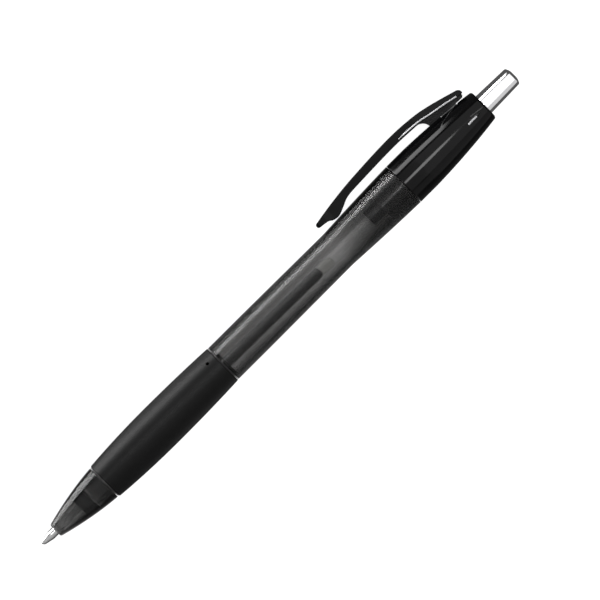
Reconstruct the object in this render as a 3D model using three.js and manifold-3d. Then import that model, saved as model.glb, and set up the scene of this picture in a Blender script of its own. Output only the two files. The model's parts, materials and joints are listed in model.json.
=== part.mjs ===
// Click-action gel pen, resting on a table on its barrel and its clip.
//
// Millimetres. Every piece is built along +X, the pen's own axis, from the writing
// point at station 0 to the button at the far end. The clip stands on the +Y side.
// Outlines are lists of [station, radius]. The pen is then rolled about its axis until
// the clip touches the table, and moved so that its box stands centred on the origin.

import * as THREE from 'three';
import { mergeVertices } from 'three/addons/utils/BufferGeometryUtils.js';
import Module from 'manifold-3d';

const wasm = await Module();
wasm.setup();

// ---- Driving dimensions ------------------------------------------------------------

const SEAM = 0.1; // between two pieces that meet face to face
const CUT_GAP = 0.3; // around a piece that is cut by, or sunk into, its neighbour
const RUNNING_GAP = 0.15; // round a piece that slides in another

// Lengths along the axis
const POINT_OUT = 4.05; // how far the writing point stands out of the nose
const NOSE_LENGTH = 14.75;
const COLLAR_LENGTH = 0.25;
const GRIP_LENGTH = 35.85;
const STRAIGHT_LENGTH = 35.3; // the barrel's straight stretch behind the grip
const FLARE_LENGTH = 19.8; // the barrel's flare, up to the housing
const HOUSING_LENGTH = 24.4; // the part of the housing that shows
const BUTTON_OUT = 9.2; // how far the button stands out while the point is out

// Outer radii
const NOSE_FACE_RADIUS = 1.3;
const NOSE_FRONT_RADIUS = 1.87;
const NOSE_REAR_RADIUS = 4.31;
const GRIP_FRONT_RADIUS = 4.49;
const GRIP_BELLY_RADIUS = 5.18;
const GRIP_REAR_RADIUS = 4.76;
const BARREL_RADIUS = 4.7;
const WAIST_RADIUS = 4.57; // the barrel's narrowest place, where the flare starts
const HOUSING_RADIUS = 5.36;
const BUTTON_RADIUS = 2.5;
const BUTTON_END_RADIUS = 2.27;

// Walls and bores
const BARREL_BORE = 3.65;
const CORE_RADIUS = 3.6; // the barrel's core under the grip
const CORE_BORE = 2.4;
const THREAD_RADIUS = 3.0;
const THREAD_DEPTH = 0.25;
const THREAD_PITCH = 0.75;
const SPIGOT_BORE = 2.2;
const SPIGOT_LENGTH = 4.25; // the threaded spigot that the nose screws onto
const VENT_RADIUS = 0.4; // the small hole through the grip
const VENT_FROM_REAR = 2.2;
const VENT_ANGLE = Math.PI / 3; // round from the clip's side
const SLEEVE_WALL = 0.76; // the housing's sleeve inside the barrel
const SLEEVE_LENGTH = 7.0;
const HOUSING_REAR_EDGE = 0.4; // wall at the housing's narrow end
const HOUSING_REAR_WALL = 1.3;
const WINDOW_HEIGHT = -0.6; // of the side windows, from the axis towards the clip

// Refill
const SHANK_RADIUS = 1.03;
const BALL_RADIUS = 0.35;
const METAL_LENGTH = 8.6; // the steel tip, up to its plastic holder
const TUBE_RADIUS = 1.5;
const TUBE_WALL = 0.3;
const INK_LENGTH = 56.8;
const GREASE_LENGTH = 3.4;
const SPRING_LENGTH = 8.5; // with the point out
const SPRING_WIRE = 0.3;
const SPRING_TURNS = 11;
const SPRING_POCKET_DEPTH = 2.15;
const SPRING_SEAT_DEPTH = 8.3; // from the nose's front face to the spring's seat

// Click mechanism
const BACK_TRAVEL = 5.0; // from point out to point in
const ROTOR_RADIUS = 2.05;
const ROTOR_OUT = 3.8; // the stretch of the rotor that shows in front of the sleeve
const RIB_HEIGHT = 0.55; // the guide's ribs, and with them the rotor's splines
const RIB_COUNT = 8;
const GROOVE_WIDTH = 1.0;
const SPLINE_COUNT = 4;
const TOOTH_COUNT = 8;
const TOOTH_HEIGHT = 0.9;
const GUIDE_WALL = 0.45;
const FLANGE_HEIGHT = 0.3; // the plunger's flange, which stops the button

// Clip
const CLIP_RISE = 4.0; // height of its highest place above the housing
const CLIP_REACH = 19.9; // how far it reaches in front of the housing
const CLIP_THICKNESS = 2.13;
const CLIP_ROOT_WIDTH = 4.2;
const CLIP_TIP_WIDTH = 3.4;
const CLIP_WEB_WIDTH = 2.6;
const TANG_WIDTH = 1.9; // the tongue that holds the clip in the housing's slot
const TANG_LENGTH = 4.1;

// Facets
const SHELL_SIDES = 36;
const SMALL_SIDES = 24;
const BALL_SIDES = 16;

// ---- Stations along the axis ---------------------------------------------------------

const noseFront = POINT_OUT;
const noseRear = noseFront + NOSE_LENGTH;
const springSeat = noseFront + SPRING_SEAT_DEPTH;
const socketFront = springSeat + SPRING_POCKET_DEPTH;
const collarFront = noseRear + SEAM;
const collarRear = collarFront + COLLAR_LENGTH;
const spigotFront = collarFront - SPIGOT_LENGTH;
const gripFront = collarRear + SEAM;
const gripRear = gripFront + GRIP_LENGTH;
const bodyFront = gripRear + SEAM;
const flareFront = bodyFront + STRAIGHT_LENGTH;
const barrelRear = flareFront + FLARE_LENGTH;
const housingFront = barrelRear + SEAM;
const housingRear = housingFront + HOUSING_LENGTH;
const housingWall = housingRear - HOUSING_REAR_WALL;
const buttonEnd = housingRear + BUTTON_OUT;
const sleeveFront = housingFront - SLEEVE_LENGTH;
const counterboreFront = sleeveFront - SEAM;
const guideFront = sleeveFront + SEAM;
const ribFront = guideFront + 4.0;
const ribRear = ribFront + 10.6;
const guideRear = housingWall - SEAM;
const rotorFront = sleeveFront - ROTOR_OUT;
const splineRear = ribFront - CUT_GAP;
const splineFront = splineRear - 1.5;
const rotorRear = ribFront + 0.6;
const plungerFront = rotorRear + 2 * TOOTH_HEIGHT + CUT_GAP;
const flangeRear = housingWall - BACK_TRAVEL - SEAM;
const flangeFront = flangeRear - 1.1;
const holderFront = METAL_LENGTH + SEAM;
const shoulderFront = springSeat + SPRING_LENGTH;
const shoulderRear = shoulderFront + 2.6;
const holderRear = shoulderRear + 4.0;
const tubeFront = shoulderRear + SEAM;
const plugRear = rotorFront - SEAM;
const plugHead = plugRear - 0.75;
const tubeRear = plugHead - SEAM;
const inkFront = holderRear + SEAM;
const inkRear = inkFront + INK_LENGTH;
const greaseFront = inkRear + SEAM;
const greaseRear = greaseFront + GREASE_LENGTH;
const clipTip = housingFront - CLIP_REACH;
const clipRear = housingRear - 1.45;
const tangRear = clipRear - 2.65;
const tangFront = tangRear - TANG_LENGTH;
const windowStation = housingRear - 3.8;

const clipCrown = HOUSING_RADIUS + CLIP_RISE;
const clipCrownStation = clipTip + 23.4;

// ---- Radii that follow from what they hold ---------------------------------------------

const socketRadius = THREAD_RADIUS + RUNNING_GAP;
const tubeBore = TUBE_RADIUS - TUBE_WALL;
const ribBore = ROTOR_RADIUS + RUNNING_GAP;
const grooveRadius = ribBore + RIB_HEIGHT;
const flangeRadius = BUTTON_RADIUS + FLANGE_HEIGHT;
const guideRearBore = flangeRadius + RUNNING_GAP;
const guideRadius = guideRearBore + GUIDE_WALL;
const housingBore = guideRadius + SEAM;
const housingRearRadius = housingBore + HOUSING_REAR_EDGE;
const sleeveRadius = housingBore + SLEEVE_WALL;
const tangFoot = guideRadius + CUT_GAP;

// ---- Shaping -----------------------------------------------------------------------------

// A bend from one point to another, pulled towards a third.
function bend(from, towards, to, steps) {
  const curve = new THREE.QuadraticBezierCurve(
    new THREE.Vector2(...from),
    new THREE.Vector2(...towards),
    new THREE.Vector2(...to),
  );
  return curve.getPoints(steps).map((point) => [point.x, point.y]);
}

// A smooth line through the points given.
function sweepThrough(points, steps) {
  const curve = new THREE.SplineCurve(points.map((point) => new THREE.Vector2(...point)));
  return curve.getPoints(steps).map((point) => [point.x, point.y]);
}

// The radius of an outline at a station between two of its points.
function radiusAt(outline, station) {
  const next = outline.findIndex((point) => point[0] >= station);
  const [before, after] = [outline[next - 1], outline[next]];
  const share = (station - before[0]) / (after[0] - before[0]);
  return before[1] + share * (after[1] - before[1]);
}

// A piece turned about the pen's axis from an outline that starts and ends on it.
function turned(outline, sides = SHELL_SIDES) {
  const points = outline.map(([station, radius]) => new THREE.Vector2(radius, station));
  const geometry = new THREE.LatheGeometry(points, sides);
  geometry.rotateZ(-Math.PI / 2);
  return geometry;
}

// A turned piece with a bore: the outside runs from front to rear, and so does the bore.
function turnedHollow(outside, bore, sides = SHELL_SIDES) {
  return turned([...outside, ...bore.toReversed(), outside[0]], sides);
}

// A plain disc or rod between two stations.
function rod(front, rear, radius, sides = SMALL_SIDES) {
  return turned([[front, 0], [front, radius], [rear, radius], [rear, 0]], sides);
}

// A flat outline in the plane of the axis and the clip, thickened across it.
function sideSlab(outline, width) {
  const shape = new THREE.Shape(outline.map((point) => new THREE.Vector2(...point)));
  const geometry = new THREE.ExtrudeGeometry(shape, { depth: width, bevelEnabled: false });
  geometry.translate(0, 0, -width / 2);
  return geometry;
}

// A block from one station to another, between two heights above the axis.
function block(front, rear, low, high, width) {
  return sideSlab([[front, low], [rear, low], [rear, high], [front, high]], width);
}

// ---- Joining and cutting ---------------------------------------------------------------

function toSolid(geometry) {
  const bare = geometry.clone();
  bare.deleteAttribute('normal');
  bare.deleteAttribute('uv');
  const merged = mergeVertices(bare, 1e-5);
  const corners = merged.index ? merged.index.array : [...merged.attributes.position.array.keys()];
  const triangles = [];
  for (let i = 0; i < corners.length; i += 3) {
    const [a, b, c] = [corners[i], corners[i + 1], corners[i + 2]];
    if (a !== b && b !== c && c !== a) triangles.push(a, b, c);
  }
  return new wasm.Manifold(new wasm.Mesh({
    numProp: 3,
    vertProperties: merged.attributes.position.array,
    triVerts: Uint32Array.from(triangles),
  }));
}

function toGeometry(solid) {
  const mesh = solid.getMesh();
  const geometry = new THREE.BufferGeometry();
  geometry.setAttribute('position', new THREE.BufferAttribute(mesh.vertProperties, 3));
  geometry.setIndex(new THREE.BufferAttribute(mesh.triVerts, 1));
  return geometry;
}

const cut = (solid, ...tools) => tools.reduce((rest, tool) => rest.subtract(toSolid(tool)), solid);
const join = (solid, ...pieces) => pieces.reduce((all, piece) => all.add(toSolid(piece)), solid);

// ---- Barrel, nose and grip --------------------------------------------------------------

function noseCone() {
  const outside = [
    [noseFront, NOSE_FACE_RADIUS],
    ...bend([noseFront + 0.03, NOSE_FACE_RADIUS + 0.12], [noseFront, NOSE_FRONT_RADIUS - 0.1],
      [noseFront + 0.7, NOSE_FRONT_RADIUS], 3),
    ...bend([noseFront + 0.7, NOSE_FRONT_RADIUS],
      [noseFront + 0.55 * NOSE_LENGTH, NOSE_REAR_RADIUS - 0.51],
      [noseRear, NOSE_REAR_RADIUS], 9).slice(1),
  ];
  const bore = [
    [noseFront, SHANK_RADIUS + 0.09],
    [springSeat, SHANK_RADIUS + 0.09],
    [springSeat, TUBE_RADIUS],
    [socketFront, TUBE_RADIUS],
    [socketFront, socketRadius],
    [noseRear, socketRadius],
  ];
  return turnedHollow(outside, bore);
}

// The screw thread is drawn as plain rings, one for each turn.
function threadRings() {
  const root = THREAD_RADIUS - THREAD_DEPTH;
  const rings = [];
  const turns = Math.floor((SPIGOT_LENGTH - 1.0) / THREAD_PITCH);
  for (let turn = 0; turn < turns; turn += 1) {
    const start = spigotFront + 0.5 + turn * THREAD_PITCH;
    rings.push([start, root], [start + THREAD_PITCH / 2, THREAD_RADIUS]);
  }
  rings.push([spigotFront + 0.5 + turns * THREAD_PITCH, root]);
  return rings;
}

const flareOutline = bend([flareFront, WAIST_RADIUS],
  [flareFront + 0.53 * FLARE_LENGTH, HOUSING_RADIUS - 0.21], [barrelRear, HOUSING_RADIUS], 8);

function barrel() {
  const outside = [
    [spigotFront, THREAD_RADIUS - THREAD_DEPTH],
    ...threadRings(),
    [collarFront, THREAD_RADIUS - THREAD_DEPTH],
    [collarFront, NOSE_REAR_RADIUS],
    [collarRear, NOSE_REAR_RADIUS],
    [collarRear, CORE_RADIUS],
    [bodyFront, CORE_RADIUS],
    [bodyFront, BARREL_RADIUS],
    [bodyFront + 0.3 * STRAIGHT_LENGTH, BARREL_RADIUS],
    ...flareOutline,
  ];
  const bore = [
    [spigotFront, SPIGOT_BORE],
    [collarRear, SPIGOT_BORE],
    [collarRear, CORE_BORE],
    [bodyFront - 0.7, CORE_BORE],
    [bodyFront + 1.5, BARREL_BORE],
    [counterboreFront, BARREL_BORE],
    [counterboreFront, sleeveRadius + SEAM],
    [barrelRear, sleeveRadius + SEAM],
  ];
  return turnedHollow(outside, bore);
}

function grip() {
  const belly = gripFront + 0.48 * GRIP_LENGTH;
  const outside = [
    [gripFront, GRIP_FRONT_RADIUS - 0.1],
    ...bend([gripFront + 0.1, GRIP_FRONT_RADIUS], [gripFront + 0.23 * GRIP_LENGTH, GRIP_BELLY_RADIUS],
      [belly, GRIP_BELLY_RADIUS], 6),
    ...bend([belly, GRIP_BELLY_RADIUS], [belly + 0.28 * GRIP_LENGTH, GRIP_BELLY_RADIUS],
      [gripRear - 0.1, GRIP_REAR_RADIUS], 6).slice(1),
    [gripRear, GRIP_REAR_RADIUS - 0.1],
  ];
  const bore = [
    [gripFront, CORE_RADIUS + RUNNING_GAP],
    [gripRear, CORE_RADIUS + RUNNING_GAP],
  ];
  const vent = new THREE.CylinderGeometry(VENT_RADIUS, VENT_RADIUS, GRIP_BELLY_RADIUS, BALL_SIDES);
  vent.translate(0, GRIP_BELLY_RADIUS, 0);
  vent.rotateX(VENT_ANGLE);
  vent.translate(gripRear - VENT_FROM_REAR, 0, 0);
  return toGeometry(cut(toSolid(turnedHollow(outside, bore)), vent));
}

// ---- Housing and clip ----------------------------------------------------------------------

// The housing's outside, or the same surface stood off by a gap.
function housingOutline(standOff = 0) {
  const shoulder = housingFront + 5.2;
  return [
    [housingFront, HOUSING_RADIUS + standOff],
    ...bend([shoulder, HOUSING_RADIUS + standOff],
      [shoulder + 10.4, HOUSING_RADIUS - 0.31 + standOff],
      [housingRear - 0.6, housingRearRadius + standOff], 9),
    ...bend([housingRear - 0.6, housingRearRadius + standOff],
      [housingRear, housingRearRadius - 0.05 + standOff],
      [housingRear, housingRearRadius - 0.6 + standOff], 4).slice(1),
  ];
}

// A narrow opening with two pointed ends, seen from the side and cut right across.
function leaf(station, height, halfLength, halfHeight, width) {
  const upper = bend([station - halfLength, height], [station, height + 2 * halfHeight],
    [station + halfLength, height], 6);
  const lower = bend([station + halfLength, height], [station, height - 2 * halfHeight],
    [station - halfLength, height], 6);
  return sideSlab([...upper, ...lower.slice(1, -1)], width);
}

function upperHousing() {
  const outside = [
    [sleeveFront, sleeveRadius],
    [housingFront, sleeveRadius],
    ...housingOutline(),
  ];
  const bore = [
    [sleeveFront, housingBore],
    [housingWall, housingBore],
    [housingWall, BUTTON_RADIUS + RUNNING_GAP],
    [housingRear, BUTTON_RADIUS + RUNNING_GAP],
  ];
  const slot = block(tangFront - CUT_GAP, tangRear + CUT_GAP, tangFoot - CUT_GAP,
    clipCrown, TANG_WIDTH + 2 * CUT_GAP);
  const windows = leaf(windowStation, WINDOW_HEIGHT, 2.0, 0.5, 4 * HOUSING_RADIUS);
  return toGeometry(cut(toSolid(turnedHollow(outside, bore)), slot, windows));
}

function clipHalfWidth(station) {
  const share = (station - clipTip) / (clipRear - clipTip);
  return (CLIP_TIP_WIDTH + (CLIP_ROOT_WIDTH - CLIP_TIP_WIDTH) * share) / 2;
}

function clipSide() {
  const underCrown = clipCrown - CLIP_THICKNESS;
  const bumpStation = clipTip + 5.2;
  const bumpFoot = radiusAt(flareOutline, bumpStation) + CUT_GAP;
  const back = sweepThrough([
    [clipTip, clipCrown - 2.16],
    [clipTip + 6.1, clipCrown - 1.19],
    [clipTip + 13, clipCrown - 0.48],
    [clipCrownStation, clipCrown],
    [clipCrownStation + 7, clipCrown - 0.28],
    [clipRear - 7.35, clipCrown - 1.13],
    [clipRear - 0.45, clipCrown - 3.0],
  ], 20);
  const rootEnd = bend([clipRear - 0.45, clipCrown - 3.0], [clipRear + 0.2, clipCrown - 3.3],
    [clipRear - 0.1, clipCrown - 4.1], 4).slice(1);
  const mouth = bend([clipRear - 10.2, HOUSING_RADIUS - 0.2], [clipRear - 10.2, underCrown - 0.5],
    [clipRear - 13, underCrown - 0.33], 6);
  const underside = sweepThrough([
    [clipRear - 13, underCrown - 0.33],
    [clipCrownStation, underCrown],
    [clipTip + 13, underCrown - 0.31],
    [clipTip + 9.4, underCrown - 0.6],
    [clipTip + 7.2, bumpFoot + 0.75],
    [bumpStation, bumpFoot],
    [clipTip + 3.6, bumpFoot + 0.22],
    [clipTip + 2.6, clipCrown - 3.55],
    [clipTip, clipCrown - 3.2],
  ], 28).slice(1);
  return [...back, ...rootEnd, [clipRear - 0.6, housingRearRadius], ...mouth, ...underside];
}

// Plan of the clip, tapering to a rounded tip, laid across the pen and cut right through.
function clipPlan() {
  const tipHalf = clipHalfWidth(clipTip);
  const rootHalf = clipHalfWidth(clipRear);
  const plan = new THREE.Shape();
  plan.moveTo(clipRear + 1, -rootHalf);
  plan.lineTo(clipRear + 1, rootHalf);
  plan.lineTo(clipTip + 1.2, tipHalf);
  plan.quadraticCurveTo(clipTip, tipHalf, clipTip, 0);
  plan.quadraticCurveTo(clipTip, -tipHalf, clipTip + 1.2, -tipHalf);
  const height = 2 * clipCrown;
  const geometry = new THREE.ExtrudeGeometry(plan, { depth: height, bevelEnabled: false, curveSegments: 4 });
  geometry.rotateX(-Math.PI / 2);
  return geometry;
}

function clip() {
  const body = toSolid(sideSlab(clipSide(), CLIP_ROOT_WIDTH + 1)).intersect(toSolid(clipPlan()));
  const sideStep = (CLIP_ROOT_WIDTH - CLIP_WEB_WIDTH) / 2 + 1;
  const undercuts = [-1, 1].map((side) => {
    const shape = sideSlab([
      [clipRear - 10.8, 0],
      [clipRear + 1, 0],
      [clipRear + 1, clipCrown - 4.26],
      [clipRear - 0.9, clipCrown - 4.26],
      [clipRear - 10.8, clipCrown - 2.56],
    ], sideStep);
    shape.translate(0, 0, side * (CLIP_WEB_WIDTH + sideStep) / 2);
    return shape;
  });
  const standOff = turned([[housingFront, 0], ...housingOutline(CUT_GAP), [housingRear, 0]]);
  const tangTop = radiusAt(housingOutline(CUT_GAP), tangFront) + 0.3;
  const tang = block(tangFront, tangRear, tangFoot, tangTop, TANG_WIDTH);
  return toGeometry(join(cut(body, ...undercuts, standOff), tang));
}

// ---- Refill -----------------------------------------------------------------------------------

function writingBall() {
  const geometry = new THREE.SphereGeometry(BALL_RADIUS, BALL_SIDES, BALL_SIDES / 2);
  geometry.translate(BALL_RADIUS, 0, 0);
  return geometry;
}

function writingTip() {
  const socket = BALL_RADIUS + 0.02;
  const stubRadius = SHANK_RADIUS - 0.23;
  const outside = [
    [BALL_RADIUS - 0.13, socket + 0.05],
    [0.5, 0.58],
    [2.6, SHANK_RADIUS],
    [METAL_LENGTH, SHANK_RADIUS],
    [METAL_LENGTH, stubRadius],
    [METAL_LENGTH + 2.9, stubRadius],
  ];
  const bore = [
    [BALL_RADIUS - 0.13, BALL_RADIUS - 0.005],
    [BALL_RADIUS - 0.05, socket],
    [BALL_RADIUS + 0.2, socket],
    [BALL_RADIUS + 0.4, 0.15],
    [BALL_RADIUS + 0.9, 0.15],
    [BALL_RADIUS + 1.1, 0.45],
    [METAL_LENGTH + 2.9, 0.45],
  ];
  return turnedHollow(outside, bore, SMALL_SIDES);
}

function tipHolder() {
  const plugRadius = tubeBore - 0.08;
  const outside = [
    [holderFront, SHANK_RADIUS],
    [shoulderFront, SHANK_RADIUS],
    [shoulderFront, TUBE_RADIUS],
    [shoulderRear, TUBE_RADIUS],
    [shoulderRear, plugRadius],
    [holderRear, plugRadius],
  ];
  const bore = [
    [holderFront, SHANK_RADIUS - 0.18],
    [holderFront + 3.0, SHANK_RADIUS - 0.18],
    [holderFront + 3.0, 0.6],
    [holderRear, 0.6],
  ];
  return turnedHollow(outside, bore, SMALL_SIDES);
}

function refillTube() {
  return turnedHollow([[tubeFront, TUBE_RADIUS], [tubeRear, TUBE_RADIUS]],
    [[tubeFront, tubeBore], [tubeRear, tubeBore]], SMALL_SIDES);
}

function tailPlug() {
  const outside = [
    [plugHead - 3.0, tubeBore - 0.08],
    [plugHead, tubeBore - 0.08],
    [plugHead, TUBE_RADIUS],
    [plugRear, TUBE_RADIUS],
  ];
  return turnedHollow(outside, [[plugHead - 3.0, 0.3], [plugRear, 0.3]], SMALL_SIDES);
}

// Coil of wire about the pen's axis, with one closed turn at each end.
class Coil extends THREE.Curve {
  getPoint(t) {
    const closedPitch = SPRING_WIRE + 0.08;
    const front = springSeat + SEAM + SPRING_WIRE / 2;
    const rear = shoulderFront - SEAM - SPRING_WIRE / 2;
    const openPitch = (rear - front - 2 * closedPitch) / (SPRING_TURNS - 2);
    const turn = t * SPRING_TURNS;
    const openTurns = Math.min(Math.max(turn - 1, 0), SPRING_TURNS - 2);
    const closedTurns = turn - openTurns;
    const radius = SHANK_RADIUS + 0.07 + SPRING_WIRE / 2;
    const angle = 2 * Math.PI * turn;
    return new THREE.Vector3(front + closedTurns * closedPitch + openTurns * openPitch,
      radius * Math.cos(angle), radius * Math.sin(angle));
  }
}

function spring() {
  const section = new THREE.Shape();
  section.absarc(0, 0, SPRING_WIRE / 2, 0, 2 * Math.PI);
  return new THREE.ExtrudeGeometry(section, {
    steps: SPRING_TURNS * 12,
    curveSegments: 3,
    extrudePath: new Coil(),
  });
}

// ---- Click mechanism -----------------------------------------------------------------------------

// A ring of ratchet teeth on the end of a rod, pointing rearwards, or forwards if flipped.
function ratchet(face, radius, direction) {
  const halfWidth = radius * Math.sin(Math.PI / TOOTH_COUNT);
  const teeth = [];
  for (let tooth = 0; tooth < TOOTH_COUNT; tooth += 1) {
    const shape = new THREE.Shape([
      new THREE.Vector2(-0.3, -halfWidth),
      new THREE.Vector2(-0.3, halfWidth),
      new THREE.Vector2(TOOTH_HEIGHT, halfWidth * 0.8),
      new THREE.Vector2(0, -halfWidth),
    ]);
    const geometry = new THREE.ExtrudeGeometry(shape, { depth: radius, bevelEnabled: false });
    if (direction < 0) geometry.rotateY(Math.PI);
    geometry.rotateX((2 * Math.PI * tooth) / TOOTH_COUNT);
    geometry.translate(face, 0, 0);
    teeth.push(geometry);
  }
  const crown = join(toSolid(teeth[0]), ...teeth.slice(1));
  const keep = rod(face - TOOTH_HEIGHT - 1, face + TOOTH_HEIGHT + 1, radius - 0.02);
  return crown.intersect(toSolid(keep));
}

// Straight splines round a rod, one for every other groove of the guide.
function splines(front, rear) {
  const reach = ROTOR_RADIUS + RIB_HEIGHT;
  const bars = [];
  for (let spline = 0; spline < SPLINE_COUNT; spline += 1) {
    const bar = block(front, rear, ROTOR_RADIUS - 0.4, reach, GROOVE_WIDTH - 2 * RUNNING_GAP);
    bar.rotateX((2 * Math.PI * spline) / SPLINE_COUNT);
    bars.push(bar);
  }
  return bars;
}

function rotor() {
  const body = toSolid(turned([
    [rotorFront, 0],
    [rotorFront, ROTOR_RADIUS - 0.2],
    [rotorFront + 0.2, ROTOR_RADIUS],
    [rotorRear, ROTOR_RADIUS],
    [rotorRear, 0],
  ], SMALL_SIDES));
  return toGeometry(join(body, ...splines(splineFront, splineRear)).add(ratchet(rotorRear, ROTOR_RADIUS, 1)));
}

function plunger() {
  const body = toSolid(turned([
    [plungerFront, 0],
    [plungerFront, ROTOR_RADIUS],
    [flangeFront, ROTOR_RADIUS],
    [flangeFront, flangeRadius],
    [flangeRear, flangeRadius],
    [flangeRear, BUTTON_RADIUS - 0.75],
    [buttonEnd - 4.5, BUTTON_RADIUS - 0.75],
    [buttonEnd - 4.5, 0],
  ], SMALL_SIDES));
  const guided = join(body, ...splines(plungerFront + 1.6, plungerFront + 6.6));
  return toGeometry(guided.add(ratchet(plungerFront, ROTOR_RADIUS, -1)));
}

// A tube whose bore narrows to ribs, with straight grooves between them.
function camGuide() {
  const outside = [[guideFront, guideRadius], [guideRear, guideRadius]];
  const bore = [
    [guideFront, grooveRadius],
    [ribFront, grooveRadius],
    [ribFront, ribBore],
    [ribRear, ribBore],
    [ribRear, guideRearBore],
    [guideRear, guideRearBore],
  ];
  const grooves = [];
  for (let groove = 0; groove < RIB_COUNT / 2; groove += 1) {
    const bar = block(ribFront - SEAM, ribRear + SEAM, -grooveRadius, grooveRadius, GROOVE_WIDTH);
    bar.rotateX((2 * Math.PI * groove) / RIB_COUNT);
    grooves.push(bar);
  }
  const lugs = leaf(windowStation, WINDOW_HEIGHT, 1.6, 0.25, 2 * housingBore + 0.5);
  const lugTrim = rod(windowStation - 4, guideRear + 2, guideRearBore + 0.1);
  const lugSolid = toSolid(lugs).subtract(toSolid(lugTrim));
  return toGeometry(cut(toSolid(turnedHollow(outside, bore)), ...grooves).add(lugSolid));
}

function button() {
  const outside = [
    [flangeRear + SEAM, BUTTON_RADIUS],
    [housingRear, BUTTON_RADIUS],
    [buttonEnd - 1.0, BUTTON_END_RADIUS],
    ...bend([buttonEnd - 0.65, BUTTON_END_RADIUS - 0.05], [buttonEnd - 0.2, BUTTON_END_RADIUS - 0.25],
      [buttonEnd, 0.9], 5),
    [buttonEnd, 0],
  ];
  const hollow = [
    [buttonEnd - 4.4, 0],
    [buttonEnd - 4.4, BUTTON_RADIUS - 0.65],
    [flangeRear + SEAM, BUTTON_RADIUS - 0.65],
  ];
  return turned([...outside, ...hollow, outside[0]]);
}

// ---- Assembly ------------------------------------------------------------------------------------

function finish(color, roughness, metalness = 0, opacity = 1) {
  return new THREE.MeshStandardMaterial({
    color,
    roughness,
    metalness,
    opacity,
    transparent: opacity < 1,
  });
}

const pieces = {
  nose_cone: [noseCone(), finish(0x4a4b4e, 0.12, 0, 0.55)],
  barrel: [barrel(), finish(0x4a4b4e, 0.12, 0, 0.55)],
  grip: [grip(), finish(0x161617, 0.62)],
  upper_housing: [upperHousing(), finish(0x0c0c0d, 0.14)],
  clip: [clip(), finish(0x0c0c0d, 0.14)],
  cam_guide: [camGuide(), finish(0x202124, 0.35)],
  button: [button(), finish(0xd4d5d8, 0.12, 1)],
  plunger: [plunger(), finish(0x202124, 0.35)],
  rotor: [rotor(), finish(0x2c2d30, 0.35)],
  spring: [spring(), finish(0xb9babd, 0.25, 1)],
  writing_ball: [writingBall(), finish(0x8d8f94, 0.15, 1)],
  writing_tip: [writingTip(), finish(0xc9cacd, 0.2, 1)],
  tip_holder: [tipHolder(), finish(0x3c3d40, 0.3, 0, 0.8)],
  refill_tube: [refillTube(), finish(0xb8babd, 0.25, 0, 0.5)],
  ink: [rod(inkFront, inkRear, tubeBore - 0.07), finish(0x08080a, 0.3)],
  follower_grease: [rod(greaseFront, greaseRear, tubeBore - 0.07), finish(0xd8d3b8, 0.3, 0, 0.6)],
  tail_plug: [tailPlug(), finish(0xd0d1d3, 0.4)],
};

// Roll about the axis that brings the clip's edge down to the table beside the barrel.
const edge = clipHalfWidth(clipCrownStation);
const roll = Math.asin(HOUSING_RADIUS / Math.hypot(clipCrown, edge)) - Math.atan2(edge, clipCrown);

const pen = new THREE.Group();
for (const [name, [geometry, material]] of Object.entries(pieces)) {
  const mesh = new THREE.Mesh(geometry, material);
  mesh.name = name;
  pen.add(mesh);
}
pen.rotation.x = -roll;

const onTable = new THREE.Group();
onTable.add(pen);
onTable.updateMatrixWorld(true);
const box = new THREE.Box3().setFromObject(onTable, true);
const middle = box.getCenter(new THREE.Vector3());
pen.position.set(-middle.x, -middle.y, -box.min.z);

export default onTable;
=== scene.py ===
"""Looks of the retractable gel pen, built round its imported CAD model.

Shapes are worked out in pen space: millimetres, x the station along the pen's axis from
the writing point, y towards the clip, z towards the camera. in_row turns them into the
frame's own space, in metres, where the pen lies rolled onto its clip.
"""

import json
import math

import bmesh
import bpy
from mathutils import Matrix, Vector


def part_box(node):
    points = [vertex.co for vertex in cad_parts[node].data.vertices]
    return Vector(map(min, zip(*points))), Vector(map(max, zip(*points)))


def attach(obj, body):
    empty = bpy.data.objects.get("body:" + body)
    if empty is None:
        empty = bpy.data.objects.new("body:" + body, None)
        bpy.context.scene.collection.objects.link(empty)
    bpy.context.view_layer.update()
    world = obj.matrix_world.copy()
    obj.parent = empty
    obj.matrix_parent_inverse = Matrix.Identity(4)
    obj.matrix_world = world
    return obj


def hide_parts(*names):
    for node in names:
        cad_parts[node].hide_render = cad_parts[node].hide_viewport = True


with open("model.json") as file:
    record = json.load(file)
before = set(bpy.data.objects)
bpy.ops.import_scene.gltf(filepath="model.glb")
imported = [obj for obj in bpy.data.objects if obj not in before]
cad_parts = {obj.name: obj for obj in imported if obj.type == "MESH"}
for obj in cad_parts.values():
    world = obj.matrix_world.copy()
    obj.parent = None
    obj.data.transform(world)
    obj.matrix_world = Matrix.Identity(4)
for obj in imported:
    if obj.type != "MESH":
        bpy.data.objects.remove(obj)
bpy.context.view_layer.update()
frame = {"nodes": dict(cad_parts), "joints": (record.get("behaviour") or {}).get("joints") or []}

# ---- The pen's axis in the frame -----------------------------------------------------------

MM = 0.001
SKIN = 0.001  # millimetres kept inside the CAD's own size, so that rounding can't cross it
point_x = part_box("writing_ball")[0].x
button_low, button_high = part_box("button")
axis_y = (button_low.y + button_high.y) / 2
axis_z = (button_low.z + button_high.z) / 2
joints = {joint["name"]: joint for joint in frame["joints"]}
flex_axis = Vector(joints["clip_flex"]["axis"])
roll = math.atan2(-flex_axis.y, -flex_axis.z)
in_row = (
    Matrix.Translation((point_x, axis_y, axis_z))
    @ Matrix.Rotation(-roll, 4, "X")
    @ Matrix.Scale(MM, 4)
)


def span(node):
    """Front and rear station of a CAD node, in millimetres from the writing point."""
    low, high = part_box(node)
    return (low.x - point_x) / MM, (high.x - point_x) / MM


def radius_of(node):
    """Largest radius of a CAD node that is turned about the pen's axis."""
    low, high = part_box(node)
    return (high.z - low.z) / 2 / MM - SKIN


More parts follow.
